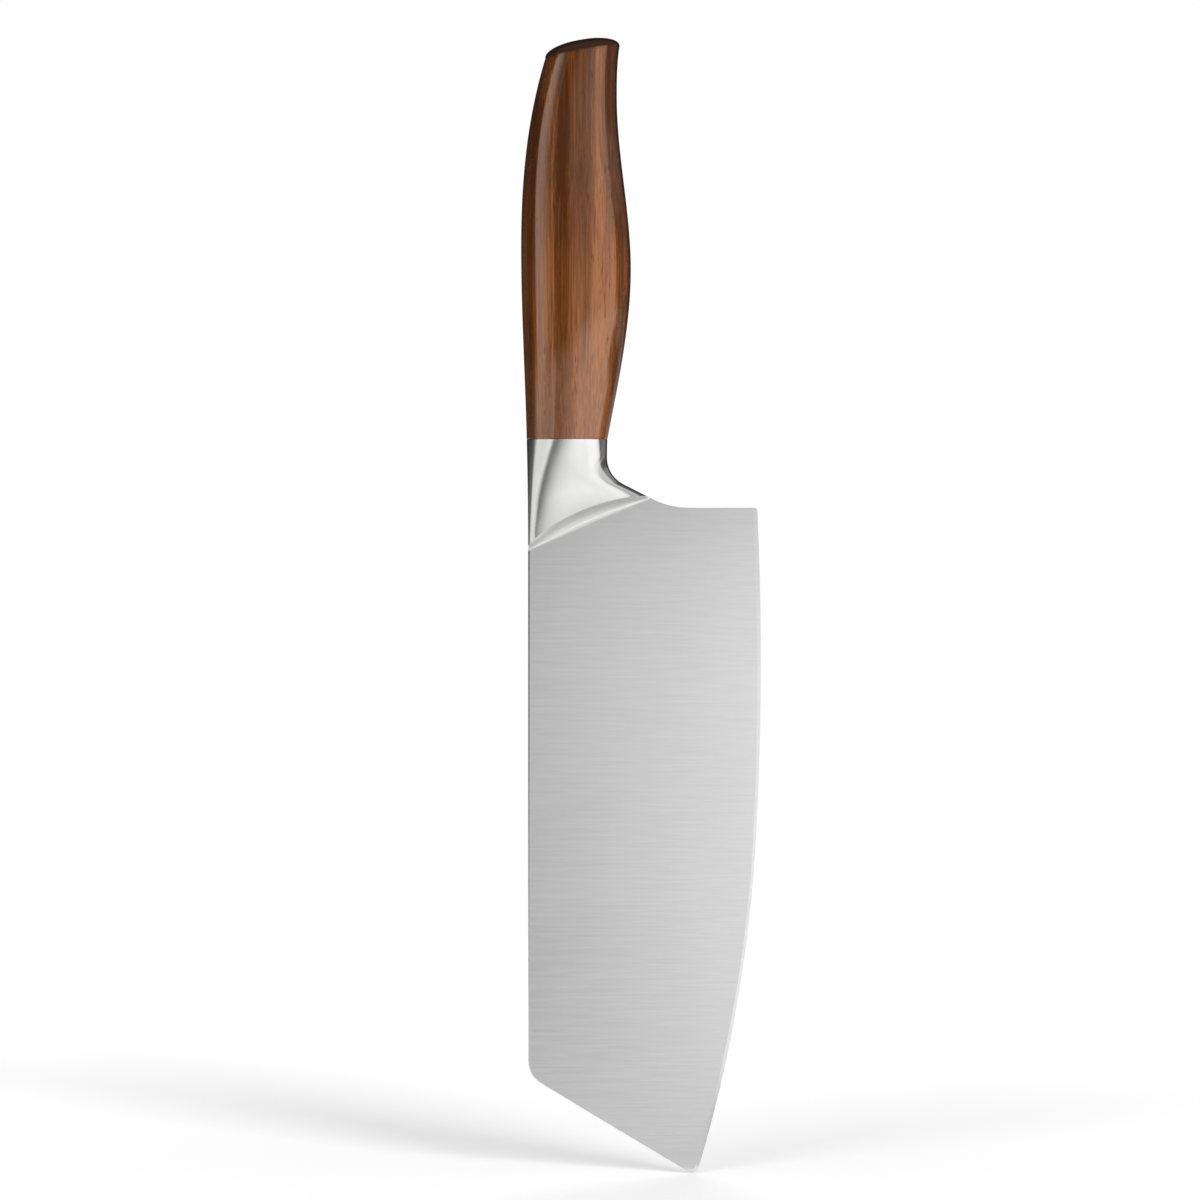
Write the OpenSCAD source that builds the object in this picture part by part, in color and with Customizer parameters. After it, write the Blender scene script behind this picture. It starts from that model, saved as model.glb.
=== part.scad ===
// Slicing cleaver with a welded bolster and a one-piece wooden handle.
// It stands on its tip: +Z up, spine towards -X, cutting edge towards +X, thickness along Y.

/* [Blade] */
// Length of the blade, from the heel line down to the tip
blade_len = 189.8; // [150:0.1:230]
// Width of the blade, from the spine to the widest point of the edge
blade_w = 66.4; // [58:0.1:90]
// Thickness of the spine at the heel
spine_t = 2.4; // [1.8:0.1:4]
// Thickness behind the cutting bevel at the heel
edge_t = 0.6; // [0.5:0.05:1]
// Thickness that the plate loses between the heel and the tip
distal_taper = 0.5; // [0:0.05:0.8]
// Width of the ground cutting bevel at the heel
bevel_w = 1.2; // [0.8:0.1:3]
// Radius of the edge curve over its upper part
edge_upper_r = 909; // [600:1:1500]
// Radius of the edge curve over its lower part
edge_lower_r = 402; // [300:1:550]
// Distance from the heel line down to the widest point of the edge
edge_widest_drop = 43.6; // [30:0.1:70]
// Distance from the heel line down to where the edge curve tightens
edge_switch_drop = 95.9; // [80:0.1:110]
// Slant of the toe, measured from the horizontal
toe_angle = 30.9; // [20:0.1:40]
// Radius of the corner between the spine and the toe
toe_r = 7; // [2:0.1:12]
// Radius that blunts the tip
tip_r = 1.6; // [0.5:0.1:3]
// Radius of the heel corner
heel_r = 0.8; // [0.3:0.1:3]
// Chamfer that breaks the edges of the spine and toe
spine_chamfer = 0.5; // [0.1:0.05:0.7]
// Width of the tongue that enters the bolster
tongue_w = 13; // [8:0.5:15]
// Space left between the tongue and the rod inside the bolster
tongue_web = 3; // [1:0.5:6]
// Depth of the shoulder on each side of the tongue
tongue_step = 0.3; // [0.1:0.05:0.4]

/* [Neck] */
// Distance from the heel line up to the joint between bolster and wood
joint_rise = 19.5; // [16:0.1:30]
// Distance from the joint down to the narrowest part of the neck
neck_drop = 5.2; // [3:0.1:8]
// Distance from the spine line to the front of the neck at its narrowest
neck_w = 22.5; // [20:0.1:28]
// Radius of the finger curve at the front of the neck
neck_r = 8.5; // [6:0.1:11]
// Slope of the straight stretch between the finger curve and the heel line
neck_angle = 27; // [20:0.5:35]
// Radius that blends that slope into the heel line
heel_blend_r = 23.4; // [10:0.1:40]

/* [Bolster] */
// Distance from the heel line down to the rim of the bolster at the spine
rim_back_drop = 12.3; // [6:0.1:20]
// Length of sloping neck that the bolster covers past the finger curve
rim_front_run = 8.9; // [5:0.1:12]
// Width of the fillet at both ends of the rim
rim_end_w = 1.4; // [0.8:0.1:3]
// Height of the ridge over the cheek of the blade
ridge_h = 3; // [1.5:0.1:5]
// Height at which the fillet ends over the cheek of the blade
rim_step = 0.12; // [0.08:0.01:0.4]
// Length of the boss that enters the wood
boss_h = 3; // [1:0.5:6]
// Width of the boss
boss_w = 13; // [10:0.5:16]
// Thickness of the boss
boss_t = 10; // [9:0.5:13]
// Play between the tongue and its slot
slot_clearance = 0.05; // [0.02:0.01:0.07]

/* [Handle] */
// Length of the handle, from the joint to the top of the butt
handle_len = 114.4; // [100:0.1:130]
// Width of handle and bolster at the joint
joint_w = 23; // [20:0.1:28]
// Thickness of handle and bolster at the joint
joint_t = 18.5; // [15:0.1:24]
// How far the back of the joint stands behind the spine line
joint_overhang = 0.4; // [0:0.1:2]
// Width of the handle across its belly
belly_w = 31.3; // [26:0.1:38]
// Thickness of the handle at its belly
belly_t = 23; // [19:0.1:28]
// How far the back of the belly stands behind the spine line
belly_overhang = 2; // [0:0.1:5]
// Height of the fullest point of the back above the joint
belly_back_rise = 54.8; // [45:0.1:65]
// Height of the fullest point of the front above the joint
belly_front_rise = 48.5; // [35:0.1:60]
// Height of the narrowest point of the front above the joint
waist_rise = 97.5; // [85:0.1:102]
// How far the front draws in from the belly to that point
waist_in = 4; // [1:0.1:7]
// Thickness of the handle there
waist_t = 19; // [16:0.1:23]
// How far the front flares out again at the butt
butt_flare = 0.9; // [0:0.1:3]
// How far the back draws in from the belly to the butt
butt_back_in = 6.9; // [2:0.1:10]
// Slant of the butt, higher at the front
butt_tilt = 9.1; // [0:0.1:15]
// Height of the dome on the butt
dome_h = 4; // [2:0.1:7]
// Chamfer on both sides of the joint
joint_chamfer = 0.3; // [0.1:0.05:0.6]

/* [Tang] */
// Diameter of the tang rod
rod_d = 7; // [5:0.1:8]
// Length of the rod inside the handle
rod_len = 75; // [40:1:85]
// Depth of the rod's seat in the bolster
rod_seat = 9; // [5:0.5:10]
// Number of grooves that key the rod into the adhesive
groove_count = 7; // [3:1:9]
// Width of each groove
groove_w = 2; // [1:0.1:3]
// Depth of each groove
groove_depth = 0.6; // [0.3:0.05:1]
// Play between the rod and its seat
rod_clearance = 0.03; // [0.01:0.01:0.06]
// Thickness of the adhesive round the rod
adhesive_t = 0.9; // [0.5:0.1:1.5]
// Depth of adhesive past the end of the rod
adhesive_end = 3; // [1:0.5:8]
// Play between the boss and its pocket in the wood
boss_clearance = 0.15; // [0.05:0.05:0.3]

/* [Hidden] */

// Main heights and sides
heel_z = blade_len;
joint_z = heel_z + joint_rise;
spine_x = (belly_overhang - blade_w) / 2;
widest_x = spine_x + blade_w;
rod_x = spine_x - joint_overhang + joint_w / 2;
outside = 5;
big = 400;
// How far the grinding of the edge sweeps above and below the edge's widest point, in degrees
edge_reach_up = 8;
edge_reach_down = 28;

// Resolution of circles, of the lofted sections and of the lofts
$fn = 96;
edge_fn = 1440;
section_n = 22;
bolster_rows = 13;
fillet_rows = 6;
// Number of flats between the lowest corner of the tip and the cutting edge
tip_flats = 3;
handle_rows = 30;
dome_rows = 6;
// How near the last ring of the dome lies to its top, where 90 degrees is the top itself
dome_last = 84;

// Roundness of the lofted sections: 2 is an ellipse and larger values are squarer
handle_round = 2.3;
ridge_round = 3;
dome_round = 2.2;
// Half the width of the narrow flat where the two halves of a section meet
seam_half = 0.6;
// How steeply the bolster thins below the joint: 1 is a straight taper
neck_taper = 1.15;
// How hollow the bolster's fillet is: 1 is a straight slope
fillet_hollow = 1.8;

// Slopes of the handle's outline, in mm per mm of height
front_slope_joint = 0.188;
front_slope_butt = 0.12;
back_slope_joint = -0.025;
back_slope_butt = 0.27;
side_slope_joint = 0.07;

// Directions and reach of the two lines that bound the bolster's fillet
rim_back_angle = 22.4;
rim_back_reach = 12.1;
rim_front_angle = 21.2;
rim_front_reach = 15;
ridge_back_angle = 54.3;
ridge_back_reach = 6;
ridge_front_angle = 0;
ridge_front_reach = 14.7;

// Half angle of the drill point at the end of the handle's bore
drill_half_angle = 59;

// Plane helpers: a point is [x, z] in the side view
function dir(a) = [cos(a), sin(a)];
function unit(v) = v / norm(v);
function mix(a, b, t) = a + (b - a) * t;
function bezier(p, t) =
    pow(1 - t, 3) * p[0] + 3 * pow(1 - t, 2) * t * p[1] + 3 * (1 - t) * t * t * p[2] + pow(t, 3) * p[3];
function hermite(z0, x0, slope0, z1, x1, slope1, z) =
    let (h = z1 - z0, t = (z - z0) / h)
    x0 * (2 * t * t * t - 3 * t * t + 1) + slope0 * h * (t * t * t - 2 * t * t + t)
    + x1 * (3 * t * t - 2 * t * t * t) + slope1 * h * (t * t * t - t * t);

// Cutting edge: two arcs that meet without a kink
upper_c = [widest_x - edge_upper_r, heel_z - edge_widest_drop];
switch_a = -asin((edge_switch_drop - edge_widest_drop) / edge_upper_r);
lower_c = upper_c + (edge_upper_r - edge_lower_r) * dir(switch_a);
function edge_x(z) = z >= heel_z - edge_switch_drop
    ? upper_c.x + sqrt(pow(edge_upper_r, 2) - pow(z - upper_c.y, 2))
    : lower_c.x + sqrt(pow(edge_lower_r, 2) - pow(z - lower_c.y, 2));

// Tip: the sharp corner lies below z = 0, so that its rounding stands on z = 0
tip_edge_angle = 90 + asin(-lower_c.y / edge_lower_r);
tip_edge_dir = dir(tip_edge_angle);
toe_dir = dir(180 - toe_angle);
tip_half = acos(tip_edge_dir * toe_dir) / 2;
tip_z = tip_r - tip_r * unit(tip_edge_dir + toe_dir).y / sin(tip_half);
tip = [edge_x(tip_z), tip_z];
function toe_z(x) = tip.y + (tip.x - x) * tan(toe_angle);
toe_corner = [spine_x, toe_z(spine_x)];
toe_tangent = toe_r * tan((90 - toe_angle) / 2);
toe_c = toe_corner + [toe_r, toe_tangent];

// Heel and neck
heel_corner = [edge_x(heel_z), heel_z];
heel_edge_dir = dir(asin((heel_z - upper_c.y) / edge_upper_r) - 90);
neck_x = spine_x + neck_w;
neck_z = joint_z - neck_drop;
neck_c = [neck_x + neck_r, neck_z];
neck_arc_end = neck_c + neck_r * dir(270 - neck_angle);
slope_end = [neck_arc_end.x + (neck_arc_end.y - heel_z) / tan(neck_angle), heel_z];

// Front outline of the bolster: down from the joint, round the finger curve, along the slope
joint_back = [spine_x - joint_overhang, joint_z];
joint_front = joint_back + [joint_w, 0];
neck_arc_len = neck_r * (90 - neck_angle) * PI / 180;
ridge_run = rim_front_run - rim_end_w;
neck_len = neck_drop + neck_arc_len + ridge_run;
function neck_slope_pt(run) = neck_arc_end + run * dir(-neck_angle);
function neck_pt(s) =
    s < neck_drop
    ? [mix(neck_x, joint_front.x, pow(1 - s / neck_drop, 2)), joint_z - s]
    : s < neck_drop + neck_arc_len
    ? neck_c + neck_r * dir(180 + (s - neck_drop) / neck_r * 180 / PI)
    : neck_slope_pt(s - neck_drop - neck_arc_len);

// Rim (lower line of the fillet) and ridge (upper line), from the spine to the slope
rim_back = [spine_x, heel_z - rim_back_drop];
rim_front = neck_slope_pt(rim_front_run);
ridge_back = rim_back + [0, rim_end_w];
ridge_front = neck_slope_pt(ridge_run);
rim_ctrl = [rim_back, rim_back + rim_back_reach * dir(rim_back_angle),
            rim_front - rim_front_reach * dir(rim_front_angle), rim_front];
ridge_ctrl = [ridge_back, ridge_back + ridge_back_reach * dir(ridge_back_angle),
              ridge_front - ridge_front_reach * dir(ridge_front_angle), ridge_front];

// Cheeks of the blade: one sloping plane on each side
cheek_slope = (spine_t - edge_t) / 2 / blade_w;
distal_slope = distal_taper / 2 / blade_len;
function cheek_half(p) = spine_t / 2 - cheek_slope * (p.x - spine_x) - distal_slope * (heel_z - p.y);

// Lofted sections: fractions across a section are closest together at its two ends
function across(j) = (1 - cos(180 * j / section_n)) / 2;
function arch(u, n) = pow(max(0, 1 - pow(abs(2 * u - 1), n)), 1 / n);
function section(l, r, half, n) = concat(
    [for (j = [0:section_n]) section_pt(l, r, across(j), -half, n)],
    [for (j = [section_n:-1:0]) section_pt(l, r, across(j), half, n)]);
function section_pt(l, r, u, half, n) =
    let (p = mix(l, r, u), side = sign(half))
    [p.x, side * mix(seam_half, abs(half), arch(u, n)), p.y];

// A closed solid through a list of rings from the top down, each ring a front half and then a back half
module loft(rings) {
    m = len(rings[0]);
    last = (len(rings) - 1) * m;
    sides = [for (i = [0:len(rings) - 2], k = [0:m - 1])
        let (a = i * m + k, b = i * m + (k + 1) % m)
        each [[a, b, b + m], [a, b + m, a + m]]];
    ends = [for (k = [0:m / 2 - 2])
        let (a = k, b = k + 1, c = m - 2 - k, d = m - 1 - k)
        each [[a, d, c], [a, c, b], [last + a, last + b, last + c], [last + a, last + c, last + d]]];
    polyhedron(points = [for (ring = rings) each ring], faces = concat(sides, ends), convexity = 6);
}

// The sliver between a sharp corner and its rounding, to cut off or to fill in
module corner_sliver(p, dir_a, dir_b, r) {
    half = acos(dir_a * dir_b) / 2;
    run = r / tan(half);
    bisector = unit(dir_a + dir_b);
    difference() {
        polygon([p + run * dir_a, p - bisector, p + run * dir_b]);
        translate(p + bisector * r / sin(half)) circle(r);
    }
}

// What blunts the tip: its rounding is left in a few flats, and the lowest of their corners stands on z = 0
module tip_sliver() {
    bisector = unit(tip_edge_dir + toe_dir);
    run = tip_r / tan(tip_half);
    centre = tip + bisector * tip_r / sin(tip_half);
    polygon(concat([tip + run * toe_dir, tip - bisector, tip + run * tip_edge_dir],
                   [for (i = [tip_flats - 1:-1:0]) centre + tip_r * dir(270 + tip_edge_angle * i / tip_flats)]));
}

// Everything on the inner side of a plane through p with outward normal n
module half_space(p, n) {
    translate(p) rotate([0, acos(n.z / norm(n)), atan2(n.y, n.x)])
        translate([-big / 2, -big / 2, -big]) cube(big);
}

// Stands a shape of the side view up, centred on y = 0
module upright(thickness) {
    rotate([90, 0, 0]) linear_extrude(thickness, center = true) children();
}

// The space between the two cheeks, made wider by grow on each side, or narrower if grow is negative
module between_cheeks(grow = 0) {
    intersection_for (side = [-1, 1])
        half_space([spine_x, side * (spine_t / 2 + grow), heel_z], [cheek_slope, side, -distal_slope]);
}

module tongue_outline(grow = 0) {
    top = joint_z - rod_seat - tongue_web + grow;
    bottom = rim_back.y - outside;
    translate([rod_x - tongue_w / 2 - grow, bottom]) square([tongue_w + 2 * grow, top - bottom]);
}

// The tongue inside the bolster, or its slot, is thinner than the plate by a shoulder on each side
module tongue(grow = 0) {
    intersection() {
        upright(2 * spine_t) tongue_outline(grow);
        between_cheeks(grow - tongue_step);
    }
}

module blade_outline() {
    right = widest_x + outside;
    difference() {
        union() {
            polygon(concat([toe_corner, [right, toe_z(right)], [right, heel_z], slope_end],
                           [for (j = [section_n:-1:0]) bezier(rim_ctrl, across(j))]));
            corner_sliver(slope_end, dir(180 - neck_angle), dir(0), heel_blend_r);
        }
        corner_sliver(toe_corner, dir(90), dir(-toe_angle), toe_r);
        tip_sliver();
        corner_sliver(heel_corner, dir(180), heel_edge_dir, heel_r);
    }
}

// What is ground away along one arc of the cutting edge, on both sides and beyond it
module edge_waste(c, r, from, to) {
    inset = 2 * bevel_w;
    slope = edge_t / 2 / bevel_w;
    translate([c.x, 0, c.y]) rotate([90, 0, 0]) rotate([0, 0, from])
        rotate_extrude(angle = to - from, $fn = edge_fn) translate([r, 0])
            polygon([[0, 0], [-inset, inset * slope], [-inset, spine_t], [blade_w, spine_t],
                     [blade_w, -spine_t], [-inset, -spine_t], [-inset, -inset * slope]]);
}

// Section of the chamfer's waste along an outline: x is the distance outside it
module chamfer_waste() {
    c = spine_chamfer;
    h = spine_t / 2 - c;
    polygon([[c, h - c], [c, h + 2 * c], [-2 * c, h + 2 * c]]);
}

module chamfer_cut() {
    spine_top = rim_back.y + outside;
    toe_start = toe_c - toe_r * [sin(toe_angle), cos(toe_angle)];
    translate([spine_x, 0, toe_c.y]) mirror([1, 0, 0])
        linear_extrude(spine_top - toe_c.y) chamfer_waste();
    translate([toe_c.x, 0, toe_c.y]) rotate([90, 0, 0]) rotate([0, 0, 180])
        rotate_extrude(angle = 90 - toe_angle) translate([toe_r, 0]) chamfer_waste();
    translate([toe_start.x, 0, toe_start.y]) rotate([0, toe_angle, 0]) rotate([0, 90, 0])
        linear_extrude(blade_w + outside) chamfer_waste();
}

module blade() {
    color([0.74, 0.75, 0.76]) union() {
        difference() {
            intersection() {
                upright(2 * spine_t) blade_outline();
                between_cheeks();
            }
            edge_waste(upper_c, edge_upper_r, -edge_reach_down, edge_reach_up);
            edge_waste(lower_c, edge_lower_r, -edge_reach_down, switch_a);
            chamfer_cut();
            mirror([0, 1, 0]) chamfer_cut();
        }
        tongue();
    }
}

// Place across and down the bolster's flank, spanned between its four outlines
function flank_pt(u, v) =
    let (back = [mix(spine_x, joint_back.x, pow(1 - v, 2)), mix(joint_z, ridge_back.y, v)],
         front = neck_pt(v * neck_len),
         top = mix(joint_back, joint_front, u),
         low = bezier(ridge_ctrl, u))
    mix(top, low, v) + mix(back, front, u)
    - mix(mix(joint_back, joint_front, u), mix(ridge_back, ridge_front, u), v);

// Half thickness across and down the flank
function flank_half(u, v) =
    let (p = flank_pt(u, v),
         rim = cheek_half(p) + rim_step,
         low_edge = mix(seam_half, rim, v),
         crest = mix(joint_t / 2, cheek_half(flank_pt(0.5, 1)) + ridge_h, 1 - pow(1 - v, neck_taper)))
    mix(low_edge, crest, arch(u, mix(handle_round, ridge_round, v)));

// Place and half thickness down the hollow fillet below the ridge
function fillet_pt(u, t) = mix(bezier(ridge_ctrl, u), bezier(rim_ctrl, u), t);
function fillet_half(u, t) =
    let (rim = cheek_half(fillet_pt(u, t)) + rim_step)
    rim + (flank_half(u, 1) - cheek_half(fillet_pt(u, 0)) - rim_step) * pow(1 - t, fillet_hollow);

function mirrored_ring(pts, halves) = concat(
    [for (j = [0:section_n]) [pts[j].x, -halves[j], pts[j].y]],
    [for (j = [section_n:-1:0]) [pts[j].x, halves[j], pts[j].y]]);
function flank_ring(v) = mirrored_ring(
    [for (j = [0:section_n]) flank_pt(across(j), v)],
    [for (j = [0:section_n]) flank_half(across(j), v)]);
function fillet_ring(t) = mirrored_ring(
    [for (j = [0:section_n]) fillet_pt(across(j), t)],
    [for (j = [0:section_n]) fillet_half(across(j), t)]);

module bolster_body() {
    c = joint_chamfer;
    chamfer_v = c / neck_len;
    loft(concat(
        [section(joint_back + [c, 0], joint_front - [c, 0], joint_t / 2 - c, handle_round)],
        [for (i = [0:bolster_rows]) flank_ring(mix(chamfer_v, 1, i / bolster_rows))],
        [for (i = [1:fillet_rows]) fillet_ring(i / fillet_rows)]));
}

// The boss on the bolster's back, or its pocket in the wood
module boss(grow = 0) {
    w = boss_w + 2 * grow;
    t = boss_t + 2 * grow;
    linear_extrude(boss_h + grow) {
        square([w - t, t], center = true);
        for (side = [-1, 1])
            translate([side * (w - t) / 2, 0]) circle(d = t);
    }
}

module bolster() {
    color([0.86, 0.86, 0.85]) difference() {
        union() {
            bolster_body();
            translate([rod_x, 0, joint_z]) boss();
        }
        tongue(slot_clearance);
        translate([rod_x, 0, joint_z - rod_seat])
            cylinder(d = rod_d + 2 * rod_clearance, h = rod_seat + boss_h + outside);
    }
}

module rod_body() {
    pitch = (rod_len - boss_h) / (groove_count + 1);
    translate([rod_x, 0, joint_z - rod_seat]) difference() {
        cylinder(d = rod_d, h = rod_seat + rod_len);
        for (i = [1:groove_count])
            translate([0, 0, rod_seat + boss_h + i * pitch - groove_w / 2]) difference() {
                cylinder(d = rod_d + outside, h = groove_w);
                translate([0, 0, -outside]) cylinder(d = rod_d - 2 * groove_depth, h = groove_w + 2 * outside);
            }
    }
}

module tang_rod() {
    color([0.6, 0.61, 0.63]) rod_body();
}

// The blind bore in the wood, with its drill point
module handle_bore() {
    r = rod_d / 2 + adhesive_t;
    depth = rod_len + adhesive_end;
    translate([rod_x, 0, joint_z]) {
        cylinder(r = r, h = depth);
        translate([0, 0, depth]) cylinder(r1 = r, r2 = 0, h = r / tan(drill_half_angle));
    }
}

module adhesive() {
    color([0.78, 0.66, 0.42]) difference() {
        handle_bore();
        rod_body();
        translate([rod_x, 0, joint_z - outside]) cylinder(d = 2 * boss_w, h = outside + boss_h + boss_clearance);
    }
}

// Outline of the handle: x at a height above the joint
belly_back_x = spine_x - belly_overhang;
belly_front_x = belly_back_x + belly_w;
waist_x = belly_front_x - waist_in;
butt_back_x = belly_back_x + butt_back_in;
butt_front_x = waist_x + butt_flare;
butt_span = (butt_front_x - butt_back_x) / cos(butt_tilt);
butt_rise = handle_len - norm([butt_span / 2 * sin(butt_tilt), dome_h * cos(butt_tilt)]);
butt_back_rise = butt_rise - butt_span / 2 * sin(butt_tilt);
butt_front_rise = butt_rise + butt_span / 2 * sin(butt_tilt);

function handle_back(z) = z < belly_back_rise
    ? hermite(0, joint_back.x, back_slope_joint, belly_back_rise, belly_back_x, 0, z)
    : hermite(belly_back_rise, belly_back_x, 0, butt_back_rise, butt_back_x, back_slope_butt, z);
function handle_front(z) = z < belly_front_rise
    ? hermite(0, joint_front.x, front_slope_joint, belly_front_rise, belly_front_x, 0, z)
    : z < waist_rise
    ? hermite(belly_front_rise, belly_front_x, 0, waist_rise, waist_x, 0, z)
    : hermite(waist_rise, waist_x, 0, butt_front_rise, butt_front_x, front_slope_butt, z);
function handle_half(z) = z < belly_front_rise
    ? hermite(0, joint_t / 2, side_slope_joint, belly_front_rise, belly_t / 2, 0, z)
    : z < waist_rise
    ? hermite(belly_front_rise, belly_t / 2, 0, waist_rise, waist_t / 2, 0, z)
    : waist_t / 2;
function handle_ring(v) =
    let (back_z = v * butt_back_rise, front_z = v * butt_front_rise)
    section([handle_back(back_z), joint_z + back_z], [handle_front(front_z), joint_z + front_z],
            handle_half(v * butt_rise), handle_round);

// Rings of the dome: a from 0 at the butt's rim towards 90 at its top
function dome_ring(a) =
    let (s = pow(cos(a), 2 / dome_round),
         rise = dome_h * pow(sin(a), 2 / dome_round),
         mid = [(butt_back_x + butt_front_x) / 2, joint_z + butt_rise] + rise * dir(90 + butt_tilt),
         reach = s * butt_span / 2 * dir(butt_tilt))
    [for (q = section(mid - reach, mid + reach, s * waist_t / 2, handle_round))
        [q.x, sign(q.y) * min(abs(q.y), s * waist_t / 2), q.z]];

module handle() {
    c = joint_chamfer;
    color([0.44, 0.24, 0.12]) difference() {
        loft(concat(
            [for (i = [dome_rows:-1:1]) dome_ring(dome_last * i / dome_rows)],
            [for (i = [handle_rows:-1:0]) handle_ring(mix(c / handle_len, 1, i / handle_rows))],
            [section(joint_back + [c, 0], joint_front - [c, 0], joint_t / 2 - c, handle_round)]));
        handle_bore();
        translate([rod_x, 0, joint_z]) boss(boss_clearance);
    }
}

blade();
bolster();
tang_rod();
adhesive();
handle();
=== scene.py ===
"""Slicing cleaver: its wood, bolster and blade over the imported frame, in a soft studio.

Sizes are written in millimetres, as a knife maker would, and meshes are scaled to metres when they are done.
The knife stands on its tip: +Z runs up to the butt, +X from the spine to the edge, and Y through the blade.
"""

import logging
import math
from collections.abc import Callable, Sequence
from dataclasses import dataclass
from enum import Enum
from typing import TypeVar, Union

import bmesh
import bpy
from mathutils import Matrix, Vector

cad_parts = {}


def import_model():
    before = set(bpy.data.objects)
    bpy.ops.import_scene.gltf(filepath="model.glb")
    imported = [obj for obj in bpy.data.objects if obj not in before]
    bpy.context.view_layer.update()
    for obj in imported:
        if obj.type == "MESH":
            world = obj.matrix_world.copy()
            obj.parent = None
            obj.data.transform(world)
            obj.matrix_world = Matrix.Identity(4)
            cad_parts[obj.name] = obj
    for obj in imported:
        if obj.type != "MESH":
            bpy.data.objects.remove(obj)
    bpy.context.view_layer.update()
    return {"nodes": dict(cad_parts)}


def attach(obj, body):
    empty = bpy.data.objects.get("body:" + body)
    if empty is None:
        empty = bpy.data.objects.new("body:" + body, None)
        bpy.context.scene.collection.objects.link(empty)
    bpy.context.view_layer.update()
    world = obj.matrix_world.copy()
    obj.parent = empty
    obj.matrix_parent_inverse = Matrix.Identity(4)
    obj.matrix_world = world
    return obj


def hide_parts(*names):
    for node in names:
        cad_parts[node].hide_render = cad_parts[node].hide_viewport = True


log = logging.getLogger("cleaver")

MM = 0.001
WELD_DISTANCE = 1e-4
HALF_STEPS = 48
RING_POINTS = 2 * (HALF_STEPS + 1)
HALVINGS = 30
SCREEN_STEPS = 24
FLOOR_CELLS = 8
VIEW_LIMIT = 200
NOISE_MIDDLE = 0.5
WHITE = (1.0, 1.0, 1.0, 1.0)

Colour = tuple[float, float, float]
Station = tuple[float, float, float]
Blend = TypeVar("Blend", float, Vector)


def mix(start: Blend, end: Blend, share: float) -> Blend:
    """Return the value that lies a share of the way from start to end."""
    return start + (end - start) * share


def heading(degrees: float) -> Vector:
    """Return the unit vector of the side view (x, z) at an angle above +X."""
    return Vector((math.cos(math.radians(degrees)), math.sin(math.radians(degrees))))


def bezier(control: Sequence[Vector], share: float) -> Vector:
    """Follow a cubic curve through the side view.

    Args:
        control: Its four control points.
        share: How far along it, from 0 to 1.

    Returns:
        The point (x, z) there.
    """
    rest = 1 - share
    weights = (rest**3, 3 * rest**2 * share, 3 * rest * share**2, share**3)
    return sum((point * weight for point, weight in zip(control, weights)), Vector((0, 0)))


def hermite(start: Station, end: Station, rise: float) -> float:
    """Follow a smooth curve between two stations, which are a height with its value and slope.

    Args:
        start: Where the curve starts.
        end: Where it ends.
        rise: The height to read it at.

    Returns:
        The value there.
    """
    span = end[0] - start[0]
    t = (rise - start[0]) / span
    return (start[1] * (2 * t**3 - 3 * t**2 + 1) + start[2] * span * (t**3 - 2 * t**2 + t)
            + end[1] * (3 * t**2 - 2 * t**3) + end[2] * span * (t**3 - t**2))


def arch(share: float, roundness: float) -> float:
    """Return how high a superellipse stands a share of the way across: 0 at its ends, 1 in its middle."""
    return max(0.0, 1 - abs(2 * share - 1) ** roundness) ** (1 / roundness)


def ring_across(place: Callable[[float], Vector], half: Callable[[float], float]) -> list[Vector]:
    """Lay a closed ring round the knife, across its front and back again behind.

    Args:
        place: Gives the point (x, z) of the side view at a share across.
        half: Gives half the thickness at a share across.

    Returns:
        The ring's points, closest together at its two ends.
    """
    shares = [(1 - math.cos(math.pi * step / HALF_STEPS)) / 2 for step in range(HALF_STEPS + 1)]
    front = [Vector((place(share).x, -half(share), place(share).y)) for share in shares]
    return front + [Vector((point.x, -point.y, point.z)) for point in reversed(front)]


def ring_level(centre: Vector, width: float, depth: float) -> list[Vector]:
    """Lay a level ring with straight sides and round ends, or a circle where width and depth are equal.

    Args:
        centre: Its centre.
        width: Its size along X.
        depth: Its size along Y.

    Returns:
        The ring's points, in the order of ring_across.
    """
    points = []
    for step in range(RING_POINTS):
        angle = math.pi + (step + 0.5) * 2 * math.pi / RING_POINTS
        shift = math.copysign((width - depth) / 2, math.cos(angle))
        points.append(centre + Vector((shift + depth / 2 * math.cos(angle), depth / 2 * math.sin(angle), 0)))
    return points


def add_object(name: str, data: bpy.types.ID) -> bpy.types.Object:
    """Add an object that holds this data to the scene."""
    made = bpy.data.objects.new(name, data)
    bpy.context.scene.collection.objects.link(made)
    return made


def add_shape(name: str, shape: bmesh.types.BMesh, finish: "Finish") -> bpy.types.Object:
    """Add an object of this shape, which is used up, in a finish."""
    mesh = bpy.data.meshes.new(name)
    shape.to_mesh(mesh)
    shape.free()
    mesh.materials.append(finish.material())
    return add_object(name, mesh)


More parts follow.
